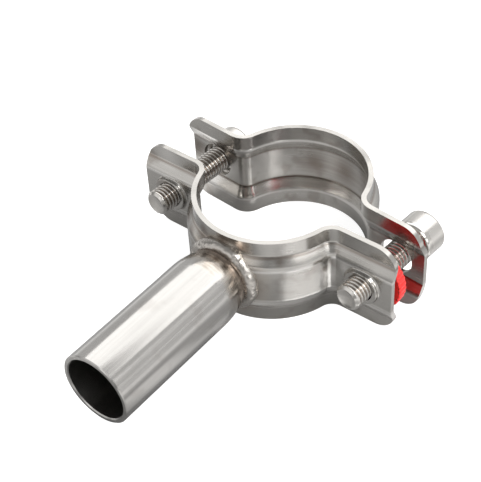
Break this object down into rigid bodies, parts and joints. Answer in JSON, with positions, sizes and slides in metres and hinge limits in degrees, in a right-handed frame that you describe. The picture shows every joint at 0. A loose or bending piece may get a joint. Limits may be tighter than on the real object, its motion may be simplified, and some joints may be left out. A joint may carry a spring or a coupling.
{
  "type": "pipe clamp on a tube stem",
  "caption": "Stainless pipe clamp of stamped half-bands on a welded tube stem, shown loose, with socket-head bolts and a red ribbed plastic ring.",
  "frame": {"origin": "centre of the base half's pipe seat, at mid-height of the band", "axes": "+Z along the pipe, the stem points along -Y, the bolt with the red ring is on +X"},
  "size_m": [0.0893, 0.1103, 0.029],
  "materials": {
    "band_steel": "polished stamped stainless sheet",
    "tube_steel": "fine lengthwise and turned brushing",
    "weld_metal": "rippled bead with brown heat tint",
    "bolt_steel": "bright turned stainless",
    "red_plastic": "glossy moulded plastic"
  },
  "bodies": {
    "base": {"base_half": "band_steel", "stem_tube": "tube_steel", "weld_bead": "weld_metal", "retaining_ring": "red_plastic"},
    "cap": {"cap_half": "band_steel"},
    "left_screw": {"left_bolt": "bolt_steel"},
    "right_screw": {"right_bolt": "bolt_steel"}
  },
  "joints": [
    {"name": "clamp_close", "type": "slide", "parent": "base", "child": "cap", "axis": [-0.0715, -0.9974, 0], "range_m": [-0.00375, 0.005]},
    {"name": "left_bolt_turn", "type": "hinge", "parent": "cap", "child": "left_screw", "pos_m": [-0.0344, -0.0047, 0], "axis": [-0.0715, -0.9974, 0], "range_deg": [-1081, 1441]},
    {"name": "right_bolt_turn", "type": "hinge", "parent": "cap", "child": "right_screw", "pos_m": [0.0344, -0.0047, 0], "axis": [-0.0715, -0.9974, 0], "range_deg": [-1081, 1441]}
  ],
  "couplings": [
    {"joint": "left_bolt_turn", "follows": "clamp_close", "rad_per_m": 5026.5},
    {"joint": "right_bolt_turn", "follows": "clamp_close", "rad_per_m": 5026.5}
  ]
}
